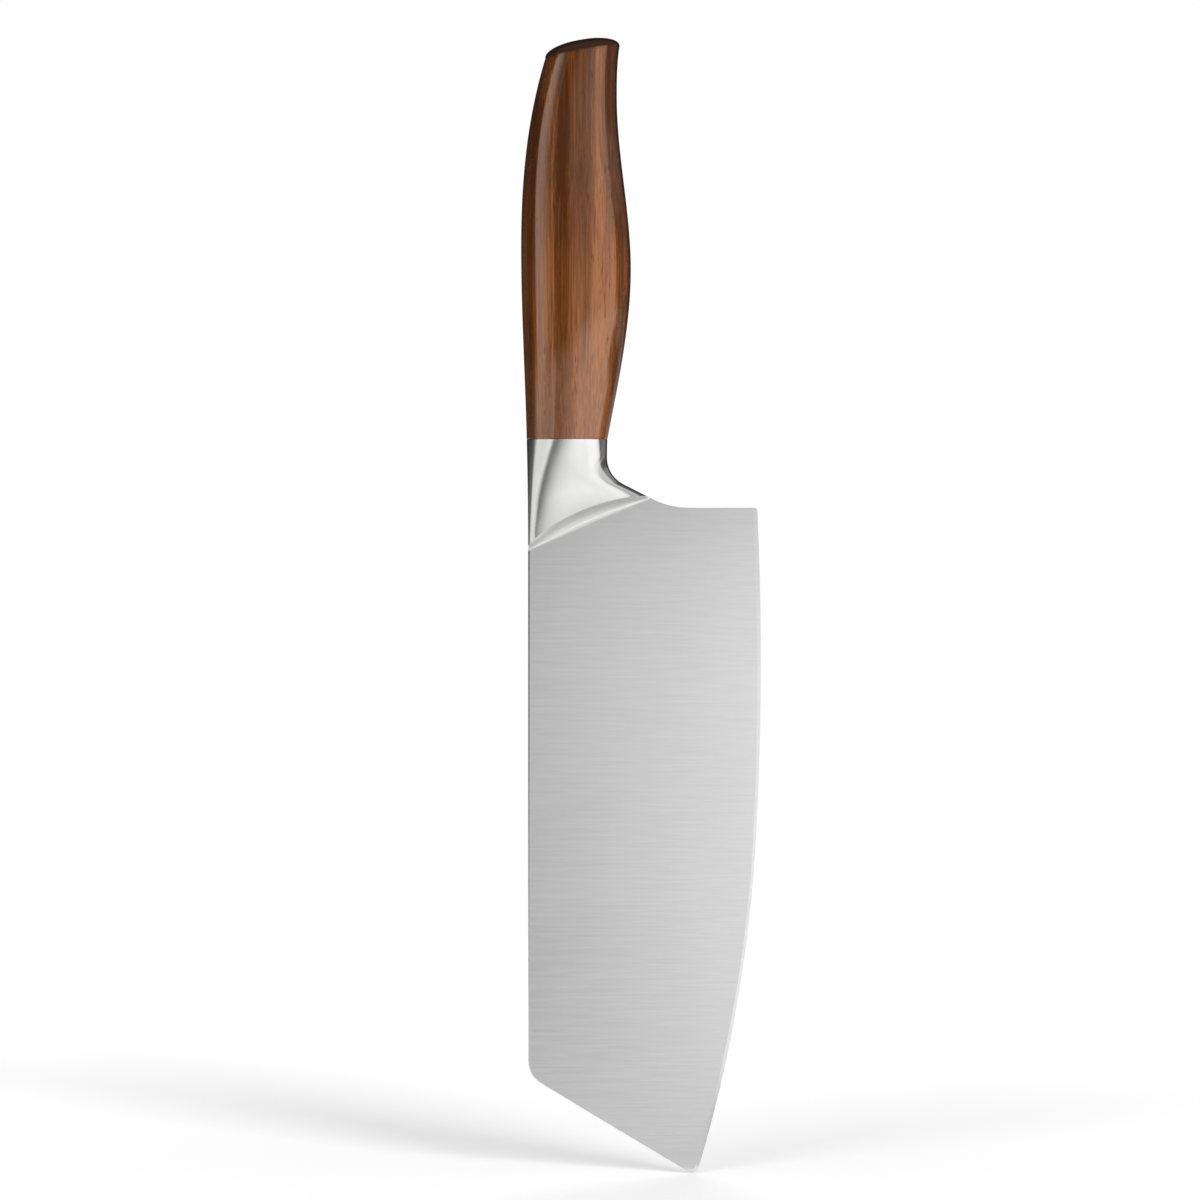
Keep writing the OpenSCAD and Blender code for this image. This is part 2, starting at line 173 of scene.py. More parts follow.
class Loft:
    """A closed shell that is drawn out of one circle, ring after ring."""

    def __init__(self, name: str, points: Sequence[Vector]) -> None:
        """Start the shell on a ring.

        Args:
            name: The name of the finished piece.
            points: The first ring's points, which may all lie in one place.
        """
        self.name = name
        self.shell = bmesh.new()
        self.ring = bmesh.ops.create_circle(self.shell, segments=len(points), radius=1)["verts"]
        self._lay(points)

    def _lay(self, points: Sequence[Vector]) -> None:
        """Move the current ring to these points."""
        for vertex, point in zip(self.ring, points):
            vertex.co = point

    def _edges(self) -> list[bmesh.types.BMEdge]:
        """Return the current ring's edges in order."""
        return [self.shell.edges.get(pair) for pair in zip(self.ring, self.ring[1:] + self.ring[:1])]

    def draw(self, points: Sequence[Vector], crisp: bool = False) -> None:
        """Draw the shell on to another ring.

        Args:
            points: Where that ring lies.
            crisp: True if its edge stays sharp to the eye.
        """
        grown = bmesh.ops.extrude_edge_only(self.shell, edges=self._edges())["geom"]
        fresh = {item for item in grown if isinstance(item, bmesh.types.BMVert)}
        self.ring = [next(edge.other_vert(vertex) for edge in vertex.link_edges
                          if edge.other_vert(vertex) in fresh) for vertex in self.ring]
        self._lay(points)
        if crisp:
            for edge in self._edges():
                edge.smooth = False

    def close(self, pole: Vector, finish: "Finish") -> bpy.types.Object:
        """Return the shell as a piece in metres, with its last ring drawn together at a pole."""
        self.draw([pole] * len(self.ring))
        bmesh.ops.remove_doubles(self.shell, verts=self.shell.verts, dist=WELD_DISTANCE)
        bmesh.ops.recalc_face_normals(self.shell, faces=self.shell.faces)
        bmesh.ops.scale(self.shell, vec=(MM, MM, MM), verts=self.shell.verts)
        for face in self.shell.faces:
            face.smooth = True
        return add_shape(self.name, self.shell, finish)


class Socket:
    """One output of a shader node. Arithmetic on it adds Math nodes."""

    def __init__(self, graph: "Graph", node: bpy.types.Node, output: Union[int, str]) -> None:
        """Hold an output of a node in a graph."""
        self.graph = graph
        self.node = node
        self.output = output

    @property
    def link(self) -> bpy.types.NodeSocket:
        """The socket that a link starts from."""
        return self.node.outputs[self.output]

    def _maths(self, operation: str, first: "Value", second: "Value" = 0.0) -> "Socket":
        """Add one Math node over two values."""
        return self.graph.node("Math", {"operation": operation}, {0: first, 1: second})

    def __add__(self, other: "Value") -> "Socket":
        """Add a value."""
        return self._maths("ADD", self, other)

    __radd__ = __add__

    def __sub__(self, other: "Value") -> "Socket":
        """Take a value away."""
        return self._maths("SUBTRACT", self, other)

    def __rsub__(self, other: "Value") -> "Socket":
        """Take this away from a value."""
        return self._maths("SUBTRACT", other, self)

    def __mul__(self, other: "Value") -> "Socket":
        """Multiply by a value."""
        return self._maths("MULTIPLY", self, other)

    __rmul__ = __mul__

    def at_least(self, other: "Value") -> "Socket":
        """Return the larger of this and a value."""
        return self._maths("MAXIMUM", self, other)

    def between(self, low: float, high: float) -> "Socket":
        """Return a soft step: 0 below low, 1 above high, and smooth between them."""
        return self.graph.node("MapRange", {"interpolation_type": "SMOOTHSTEP"},
                               {"Value": self, "From Min": low, "From Max": high})

    def along(self, start: float, end: float) -> "Socket":
        """Return the value that lies this share of the way from start to end."""
        return start + self * (end - start)


Value = Union[Socket, float]


@dataclass(frozen=True)
class Pattern:
    """A noise in the material, with its cells counted per millimetre along each axis.

    Spots, where it has them, are the two values between which it is cut into spots. Its share says how much
    it counts in what it is blended into.
    """

    cells: tuple[float, float, float]
    detail: float = 2
    roughness: float = 0.5
    distortion: float = 0
    spots: Union[tuple[float, float], None] = None
    share: float = 1.0


class Graph:
    """A shader's node tree, written as expressions."""

    def __init__(self, tree: bpy.types.NodeTree) -> None:
        """Empty a tree and write on it."""
        self.tree = tree
        tree.nodes.clear()

    def node(self, kind: str, settings: Union[dict, None] = None, sockets: Union[dict, None] = None,
             output: Union[int, str] = 0) -> Socket:
        """Add a node of any kind.

        Args:
            kind: The node's type without its ShaderNode prefix.
            settings: Properties to set first; stops holds a ramp's pairs of place and colour.
            sockets: Values or links for its inputs, by name or number.
            output: Which of its outputs to return.

        Returns:
            That output.
        """
        made = self.tree.nodes.new("ShaderNode" + kind)
        for name, setting in (settings or {}).items():
            if name == "stops":
                while len(made.color_ramp.elements) < len(setting):
                    made.color_ramp.elements.new(1.0)
                for element, (place, colour) in zip(made.color_ramp.elements, setting):
                    element.position = place
                    element.color = (*colour, 1.0)
            else:
                setattr(made, name, setting)
        for name, value in (sockets or {}).items():
            if isinstance(value, Socket):
                self.tree.links.new(value.link, made.inputs[name])
            else:
                made.inputs[name].default_value = value
        return Socket(self, made, output)

    def place(self, cells: tuple[float, float, float] = (1, 1, 1)) -> Socket:
        """Return the surface's place in its object, counted in cells per millimetre along each axis."""
        spot = self.node("TexCoord", output="Object")
        return self.node("VectorMath", {"operation": "MULTIPLY"},
                         {0: spot, 1: tuple(count / MM for count in cells)})

    def coordinates(self) -> list[Socket]:
        """Return the surface's x, y and z in its object, in millimetres."""
        split = self.node("SeparateXYZ", {}, {0: self.place()})
        return [Socket(self, split.node, axis) for axis in range(3)]

    def noise(self, pattern: Pattern) -> Socket:
        """Return a pattern's value, from 0 to 1."""
        cloud = self.node("TexNoise", {}, {
            "Vector": self.place(pattern.cells), "Scale": 1.0, "Detail": pattern.detail,
            "Roughness": pattern.roughness, "Distortion": pattern.distortion})
        return cloud.between(*pattern.spots) if pattern.spots else cloud

    def ramp(self, value: Value, stops: Sequence[tuple[float, Colour]]) -> Socket:
        """Return the colour that a value picks from stops."""
        return self.node("ValToRGB", {"stops": stops}, {"Fac": value})

    def tint(self, share: Value, start: Union[Socket, Colour], end: Union[Socket, Colour]) -> Socket:
        """Return the colour that lies a share of the way from one to another."""
        first, second = (item if isinstance(item, Socket) else (*item, 1.0) for item in (start, end))
        return self.node("Mix", {"data_type": "RGBA"}, {0: share, 6: first, 7: second}, 2)

    def relief(self, height: Value, depth: float) -> Socket:
        """Return a normal that is tilted by a height, where a height of 1 is depth in millimetres."""
        return self.node("Bump", {}, {"Strength": 1.0, "Distance": depth * MM, "Height": height})

    def surface(self, **sockets: Union[Socket, float, tuple]) -> None:
        """End a material in one Principled shader, whose sockets are named with underscores for spaces."""
        named = {name.replace("_", " "): value for name, value in sockets.items()}
        self.end(self.node("BsdfPrincipled", {}, named))

    def light(self, strength: Value) -> Socket:
        """Return a shader that gives off white light."""
        return self.node("Emission", {}, {"Color": WHITE, "Strength": strength})

    def end(self, shader: Socket) -> None:
        """End a material in a shader."""
        self.node("OutputMaterial", {}, {"Surface": shader})


class Finish:
    """What a surface is made of. Each kind paints its own graph."""

    name: str

    def material(self) -> bpy.types.Material:
        """Return a new material in this finish."""
        made = bpy.data.materials.new(self.name)
        made.use_nodes = True
        self.paint(Graph(made.node_tree))
        return made

    def paint(self, graph: Graph) -> None:
        """Write the finish's nodes."""
        raise NotImplementedError


@dataclass(frozen=True)
class BrushedSteel(Finish):
    """Plate steel with fine belt lines that run from spine to edge."""

    name: str = "brushed blade steel"
    dark: Colour = (0.66, 0.66, 0.66)
    light: Colour = (0.90, 0.90, 0.90)
    roughness: float = 0.24
    roughness_play: float = 0.08
    scratch_depth: float = 0.00022
    lines: Pattern = Pattern((0.05, 0.3, 2.6), roughness=0.6, share=0.5)
    scratches: Pattern = Pattern((0.12, 0.6, 4.5), share=0.3)
    tone: Pattern = Pattern((0.03, 0.03, 0.04), share=0.2)

    def paint(self, graph: Graph) -> None:
        """Write straight belt lines, finer scratches between them and a slow change of tone."""
        lines, scratches, tone = map(graph.noise, (self.lines, self.scratches, self.tone))
        ground = lines * self.lines.share + scratches * self.scratches.share + tone * self.tone.share
        graph.surface(
            Base_Color=graph.tint(ground, self.dark, self.light),
            Metallic=1.0,
            Roughness=self.roughness + (lines - NOISE_MIDDLE) * self.roughness_play,
            Normal=graph.relief(scratches, self.scratch_depth))


@dataclass(frozen=True)
class SatinSteel(Finish):
    """Cast steel, ground and polished by hand until it is nearly free of lines."""

    name: str = "satin bolster steel"
    dark: Colour = (0.77, 0.765, 0.76)
    light: Colour = (0.85, 0.845, 0.84)
    roughness: float = 0.18
    roughness_play: float = 0.04
    hair_depth: float = 0.0015
    haze: Pattern = Pattern((0.25, 0.25, 0.12), share=0.6)
    hairs: Pattern = Pattern((0.25, 0.6, 3.0), share=0.4)

    def paint(self, graph: Graph) -> None:
        """Write the faint haze and hairlines that polishing leaves."""
        haze, hairs = map(graph.noise, (self.haze, self.hairs))
        graph.surface(
            Base_Color=graph.tint(haze * self.haze.share + hairs * self.hairs.share, self.dark, self.light),
            Metallic=1.0,
            Roughness=self.roughness + (haze - NOISE_MIDDLE) * self.roughness_play,
            Normal=graph.relief(hairs, self.hair_depth))


@dataclass(frozen=True)
class TurnedSteel(Finish):
    """Rod steel as it leaves the lathe, with fine rings round it."""

    name: str = "turned rod steel"
    dark: Colour = (0.36, 0.37, 0.39)
    light: Colour = (0.58, 0.59, 0.61)
    roughness: float = 0.36
    roughness_play: float = 0.2
    ring_depth: float = 0.01
    rings: Pattern = Pattern((0.02, 0.02, 7.0), share=0.6)
    stain: Pattern = Pattern((0.3, 0.3, 0.2), detail=3, share=0.4)

    def paint(self, graph: Graph) -> None:
        """Write rings that follow the turning tool, and stains between them."""
        rings, stain = map(graph.noise, (self.rings, self.stain))
        graph.surface(
            Base_Color=graph.tint(rings * self.rings.share + stain * self.stain.share, self.dark, self.light),
            Metallic=1.0,
            Roughness=self.roughness + (stain - NOISE_MIDDLE) * self.roughness_play,
            Normal=graph.relief(rings, self.ring_depth))


@dataclass(frozen=True)
class SetResin(Finish):
    """Amber adhesive, cloudy and slightly uneven once it has set."""

    name: str = "set amber resin"
    dark: Colour = (0.36, 0.20, 0.07)
    light: Colour = (0.62, 0.42, 0.18)
    bubble: Colour = (0.8, 0.66, 0.4)
    roughness: float = 0.42
    bubble_roughness: float = 0.2
    depth: float = 0.04
    clouds: Pattern = Pattern((0.35, 0.35, 0.2), detail=4, roughness=0.6, share=0.5)
    bubbles: Pattern = Pattern((3.5, 3.5, 3.5), spots=(0.66, 0.74), share=0.5)

    def paint(self, graph: Graph) -> None:
        """Write cloudy depth and small bubbles."""
        clouds, bubbles = map(graph.noise, (self.clouds, self.bubbles))
        cloudy = graph.tint(clouds, self.dark, self.light)
        graph.surface(
            Base_Color=graph.tint(bubbles * self.bubbles.share, cloudy, self.bubble),
            Roughness=self.roughness + bubbles * self.bubble_roughness,
            Normal=graph.relief(clouds * self.clouds.share - bubbles, self.depth))


@dataclass(frozen=True)
class LacqueredWood(Finish):
    """Reddish brown hardwood with open pores under clear gloss lacquer.

    Reaches are stretches of X or Z, in millimetres, over which the wood gets lighter or darker: a band of
    painted light down the grip's face where the key lamp falls, and darker towards the butt. The butt's
    middle and tilt say where its end grain begins, painted near-black both as its own darker grain and as
    painted shade on the butt's unlit top.
    """

    butt_middle: Vector
    butt_tilt: float
    name: str = "lacquered hardwood"
    heart: Colour = (0.060, 0.016, 0.003)
    body: Colour = (0.140, 0.040, 0.0065)
    pale: Colour = (0.280, 0.094, 0.028)
    pore: Colour = (0.030, 0.011, 0.005)
    fleck: Colour = (0.42, 0.23, 0.11)
    # painted shade: near-black end grain that also stands in for the shade on the butt's unlit top
    end_grain_and_painted_shade: Colour = (0.034, 0.009, 0.003)
    growth_stops: tuple[float, float, float] = (0.38, 0.5, 0.62)
    bands: Pattern = Pattern((0.17, 0.17, 0.006), distortion=0.35, share=0.46)
    fibres: Pattern = Pattern((1.9, 1.9, 0.014), detail=4, roughness=0.62, share=0.42)
    hairs: Pattern = Pattern((5.0, 5.0, 0.05), share=0.08)
    sway: Pattern = Pattern((0.02, 0.02, 0.011), share=0.05)
    crowds: Pattern = Pattern((0.22, 0.22, 0.03), spots=(0.38, 0.55))
    pores: Pattern = Pattern((2.6, 2.6, 0.24), spots=(0.63, 0.69), share=0.8)
    flecks: Pattern = Pattern((1.7, 1.7, 0.34), distortion=0.4, spots=(0.745, 0.79), share=0.6)
    rings: Pattern = Pattern((1.4, 0.25, 0.25), detail=3, share=0.6)
    # painted light: lighter across the first reach and back to the wood's own tone across the second, a band
    # where the key lamp falls on the grip
    painted_light_rise: tuple[float, float] = (-26.0, -16.0)
    painted_light_fall: tuple[float, float] = (-15.0, -7.0)
    painted_light_level: float = 0.07
    butt_reach: tuple[float, float] = (248.0, 290.0)
    butt_lean: float = 0.1
    rim_blend: tuple[float, float] = (-1.1, 0.7)
    roughness: float = 0.22
    pore_roughness: float = 0.2
    fibre_polish: float = 0.1
    glint: Colour = (1.0, 0.40, 0.08)
    glint_level: float = 1.0
    lacquer_roughness: float = 0.10
    lacquer_ior: float = 1.9
    pore_gaps: float = 0.7
    fibre_gaps: float = 0.2
    butt_dullness: float = 0.7
    fibre_relief: float = 0.3
    pore_depth: float = 0.02

    def over_rim(self, x: Socket, z: Socket) -> Socket:
        """Return how far a place lies beyond the plane of the butt's rim, in millimetres."""
        tilt = math.radians(self.butt_tilt)
        return (x - self.butt_middle.x) * -math.sin(tilt) + (z - self.butt_middle.y) * math.cos(tilt)

    def paint(self, graph: Graph) -> None:
        """Write growth bands, fibres, pores and pale flecks along the grain, a band of painted light, and end
        grain darkened with painted shade on the butt.
        """
        x, _, z = graph.coordinates()
        bands, fibres, hairs, sway = map(graph.noise, (self.bands, self.fibres, self.hairs, self.sway))
        # a band of painted light down the grip's face, and darker towards the butt
        painted_light_and_darker_butt = ((x.between(*self.painted_light_rise) - x.between(*self.painted_light_fall)) * self.painted_light_level
                - z.between(*self.butt_reach) * self.butt_lean)
        growth = (bands * self.bands.share + fibres * self.fibres.share + hairs * self.hairs.share
                  + sway * self.sway.share + painted_light_and_darker_butt)
        wood = graph.ramp(growth, list(zip(self.growth_stops, (self.heart, self.body, self.pale))))
        pores = graph.noise(self.pores) * graph.noise(self.crowds)
        porous = graph.tint(pores * self.pores.share, wood, self.pore)
        flecked = graph.tint(graph.noise(self.flecks) * self.flecks.share, porous, self.fleck)
        # end grain, painted near-black so that it also gives the shade on the butt's unlit top
        butt = graph.tint(graph.noise(self.rings) * self.rings.share, self.end_grain_and_painted_shade, self.pore)
        end_grain_shade_mask = self.over_rim(x, z).between(*self.rim_blend)
        lacquer = 1.0 - pores * self.pore_gaps - fibres * self.fibre_gaps
        graph.surface(
            Base_Color=graph.tint(end_grain_shade_mask, flecked, butt),
            Roughness=self.roughness + pores * self.pore_roughness - fibres * self.fibre_polish,
            Specular_IOR_Level=self.glint_level,
            Specular_Tint=(*self.glint, 1.0),
            Coat_Weight=lacquer * (1.0 - end_grain_shade_mask * self.butt_dullness),
            Coat_Roughness=self.lacquer_roughness,
            Coat_IOR=self.lacquer_ior,
            Normal=graph.relief(fibres * self.fibre_relief - pores, self.pore_depth))


@dataclass(frozen=True)
class StudioFloor(Finish):
    """Seamless white paper that shows the knife's shadow near it and runs out into pure white.

    The glow runs from its first strength to its second, and reaches are distances from the knife in metres.
    """

    name: str = "seamless paper"
    paper: Colour = (0.8, 0.8, 0.8)
    speck: Colour = (0.7, 0.7, 0.7)
    grain: Pattern = Pattern((0.4, 0.4, 0.4), detail=3, share=0.04)
    glow: tuple[float, float] = (0.33, 0.48)
    glow_reach: tuple[float, float] = (0.0, 0.6)
    shadow_reach: tuple[float, float] = (0.3, 1.6)

    def paint(self, graph: Graph) -> None:
        """Write plain paper for the light, and brighter paper that fades into white for what looks at it."""
        spot = graph.node("TexCoord", output="Object")
        distance = graph.node("VectorMath", {"operation": "LENGTH"}, {0: spot}, "Value")
        away = distance.between(*self.shadow_reach)
        lift = distance.between(*self.glow_reach).along(*self.glow)
        speckled = graph.tint(graph.noise(self.grain) * self.grain.share, self.paper, self.speck)
        paper = graph.node("BsdfDiffuse", {}, {"Color": speckled})
        seen_paper = graph.node("BsdfDiffuse", {}, {"Color": WHITE})
        near = graph.node("AddShader", {}, {0: seen_paper, 1: graph.light(lift)})
        seen = graph.node("MixShader", {}, {0: away, 1: near, 2: graph.light(1.0)})
        graph.end(graph.node("MixShader", {}, {0: sees_background(graph), 1: paper, 2: seen}))


@dataclass(frozen=True)
class CardSurface(Finish):
    """A studio card of one tone, or of two between which it fades along X, in metres."""

    name: str
    tones: tuple[float, ...]
    fade: tuple[float, float] = (-1.0, 1.0)

    def paint(self, graph: Graph) -> None:
        """Write the card's own light, from its first tone to its last."""
        across = graph.node("SeparateXYZ", {}, {0: graph.node("TexCoord", output="Object")})
        graph.end(graph.light(across.between(*self.fade).along(self.tones[0], self.tones[-1])))


def sees_background(graph: Graph) -> Socket:
    """Return 1 for the rays that show a background, straight or by reflection, and 0 for the other ones."""
    camera = graph.node("LightPath", output="Is Camera Ray")
    glossy = graph.node("LightPath", output="Is Glossy Ray")
    through = graph.node("LightPath", output="Is Transmission Ray")
    return camera.at_least(glossy).at_least(through)


@dataclass(frozen=True)
class Layout:
    """The lines and planes that blade, bolster and handle share, in millimetres."""

    blade_length: float = 189.8
    blade_width: float = 66.4
    spine_thickness: float = 2.4
    edge_thickness: float = 0.6
    distal_taper: float = 0.5
    joint_rise: float = 19.5
    joint_width: float = 23.0
    joint_thickness: float = 18.5
    joint_overhang: float = 0.4
    joint_chamfer: float = 0.15
    belly_overhang: float = 2.0
    seam_half: float = 0.6
    section_roundness: float = 2.3
    rod_diameter: float = 7.0
    boss_height: float = 3.0
    boss_width: float = 13.0
    boss_thickness: float = 10.0

    @property
    def spine_x(self) -> float:
        """Where the spine lies."""
        return (self.belly_overhang - self.blade_width) / 2

    @property
    def joint_z(self) -> float:
        """How high the joint between bolster and wood lies."""
        return self.blade_length + self.joint_rise

    @property
    def joint_back(self) -> Vector:
        """The joint's end above the spine, in the side view."""
        return Vector((self.spine_x - self.joint_overhang, self.joint_z))

    @property
    def joint_front(self) -> Vector:
        """The joint's end above the neck, in the side view."""
        return self.joint_back + Vector((self.joint_width, 0))

    def rod_point(self, rise: float) -> Vector:
        """Return the point of the rod's axis at a height above the joint."""
        return Vector((self.joint_back.x + self.joint_width / 2, 0, self.joint_z + rise))

    def cheek_half(self, spot: Vector) -> float:
        """Return half the thickness of the blade's plate at a point of the side view."""
        thinning = (self.spine_thickness - self.edge_thickness) / 2 / self.blade_width
        return (self.spine_thickness / 2 - thinning * (spot.x - self.spine_x)
                - self.distal_taper / 2 / self.blade_length * (self.blade_length - spot.y))

    def joint_ring(self) -> list[Vector]:
        """Return the ring at the joint, inside the chamfer that wood and bolster share."""
        inset = Vector((self.joint_chamfer, 0))
        half = self.joint_thickness / 2 - self.joint_chamfer
        return ring_across(lambda u: mix(self.joint_back + inset, self.joint_front - inset, u),
                           lambda u: mix(self.seam_half, half, arch(u, self.section_roundness)))


@dataclass(frozen=True)
class Handle:
    """The one-piece wooden grip, lofted from the joint to its domed butt, with its blind bore."""

    layout: Layout
    length: float = 114.45
    belly_width: float = 31.3
    belly_thickness: float = 23.0
    belly_back_rise: float = 54.8
    belly_front_rise: float = 48.5
    waist_rise: float = 97.5
    waist_in: float = 4.0
    waist_thickness: float = 19.0
    butt_flare: float = 0.8
    butt_back_in: float = 6.9
    butt_tilt: float = 10.1
    dome_height: float = 3.6
    dome_roundness: float = 2.03
    front_slope_joint: float = 0.188
    front_slope_butt: float = 0.161
    back_slope_joint: float = -0.025
    back_slope_butt: float = 0.305
    side_slope_joint: float = 0.07
    bore_depth: float = 78.0
    bore_radius: float = 4.4
    drill_half_angle: float = 59.0
    pocket_play: float = 0.15
    rows: int = 110
    dome_rows: int = 18

    @property
    def belly_back(self) -> float:
        """Where the back of the belly lies."""
        return self.layout.spine_x - self.layout.belly_overhang

    @property
    def waist_front(self) -> float:
        """Where the front lies at its narrowest."""
        return self.belly_back + self.belly_width - self.waist_in

    @property
    def butt_ends(self) -> tuple[Vector, Vector]:
        """The butt's back and front corners: x, and height above the joint."""
        back, front = self.belly_back + self.butt_back_in, self.waist_front + self.butt_flare
        tilt = math.radians(self.butt_tilt)
        half_rise = (front - back) / 2 * math.tan(tilt)
        middle = self.length - math.hypot(half_rise, self.dome_height * math.cos(tilt))
        return Vector((back, middle - half_rise)), Vector((front, middle + half_rise))

    @property
    def butt_middle(self) -> Vector:
        """The middle of the butt's rim, in the side view."""
        return mix(*self.butt_ends, 0.5) + Vector((0, self.layout.joint_z))

    def back(self, rise: float) -> float:
        """Return where the back lies at a height above the joint."""
        belly = (self.belly_back_rise, self.belly_back, 0)
        if rise < self.belly_back_rise:
            return hermite((0, self.layout.joint_back.x, self.back_slope_joint), belly, rise)
        corner = self.butt_ends[0]
        return hermite(belly, (corner.y, corner.x, self.back_slope_butt), rise)

    def front(self, rise: float) -> float:
        """Return where the front lies at a height above the joint."""
        belly = (self.belly_front_rise, self.belly_back + self.belly_width, 0)
        waist = (self.waist_rise, self.waist_front, 0)
        if rise < self.belly_front_rise:
            return hermite((0, self.layout.joint_front.x, self.front_slope_joint), belly, rise)
        if rise < self.waist_rise:
            return hermite(belly, waist, rise)
        corner = self.butt_ends[1]
        return hermite(waist, (corner.y, corner.x, self.front_slope_butt), rise)

    def half(self, rise: float) -> float:
        """Return half the thickness at a height above the joint."""
        belly = (self.belly_front_rise, self.belly_thickness / 2, 0)
        if rise < self.belly_front_rise:
            return hermite((0, self.layout.joint_thickness / 2, self.side_slope_joint), belly, rise)
        return hermite(belly, (self.waist_rise, self.waist_thickness / 2, 0), min(rise, self.waist_rise))

    def side_ring(self, share: float) -> list[Vector]:
        """Return the ring at a share of the way from the joint to the butt's rim."""
        back, front = (corner.y * share for corner in self.butt_ends)
        ends = [Vector((self.back(back), self.layout.joint_z + back)),
                Vector((self.front(front), self.layout.joint_z + front))]
        half = self.half((back + front) / 2)
        return ring_across(lambda u: mix(*ends, u),
                           lambda u: mix(self.layout.seam_half, half, arch(u, self.layout.section_roundness)))

    def dome_ring(self, degrees: float) -> list[Vector]:
        """Return the dome's ring at an angle from 0 at the butt's rim to 90 at its top."""
        corners = [Vector((corner.x, corner.y + self.layout.joint_z)) for corner in self.butt_ends]
        lift = math.sin(math.radians(degrees)) ** (2 / self.dome_roundness)
        middle = mix(*corners, 0.5) + lift * self.dome_height * heading(90 + self.butt_tilt)
        reach = (corners[1] - corners[0]) / 2 * math.cos(math.radians(degrees)) ** (2 / self.dome_roundness)
        half = math.sqrt(1 - lift) * self.waist_thickness / 2
        return ring_across(
            lambda u: mix(middle - reach, middle + reach, u),
            lambda u: min(half, mix(self.layout.seam_half, half, arch(u, self.layout.section_roundness))))

    def build(self, finish: Finish) -> bpy.types.Object:
        """Return the grip in a finish, lofted from the drill point, out of the bore and up to the dome."""
        pocket = self.layout.boss_height + self.pocket_play
        width = self.layout.boss_width + 2 * self.pocket_play
        depth = self.layout.boss_thickness + 2 * self.pocket_play
        bore = 2 * self.bore_radius
        point = self.bore_radius / math.tan(math.radians(self.drill_half_angle))
        loft = Loft("grip", [self.layout.rod_point(self.bore_depth + point)] * RING_POINTS)
        loft.draw(ring_level(self.layout.rod_point(self.bore_depth), bore, bore), crisp=True)
        loft.draw(ring_level(self.layout.rod_point(pocket), bore, bore), crisp=True)
        loft.draw(ring_level(self.layout.rod_point(pocket), width, depth), crisp=True)
        loft.draw(ring_level(self.layout.rod_point(0), width, depth), crisp=True)
        loft.draw(self.layout.joint_ring(), crisp=True)
        start = self.layout.joint_chamfer / self.length
        for row in range(self.rows + 1):
            loft.draw(self.side_ring(mix(start, 1.0, row / self.rows)), crisp=row in (0, self.rows))
        for row in range(1, self.dome_rows):
            loft.draw(self.dome_ring(90 * row / self.dome_rows))
        top = mix(*self.butt_ends, 0.5) + self.dome_height * heading(90 + self.butt_tilt)
        return loft.close(Vector((top.x, 0, self.layout.joint_z + top.y)), finish)


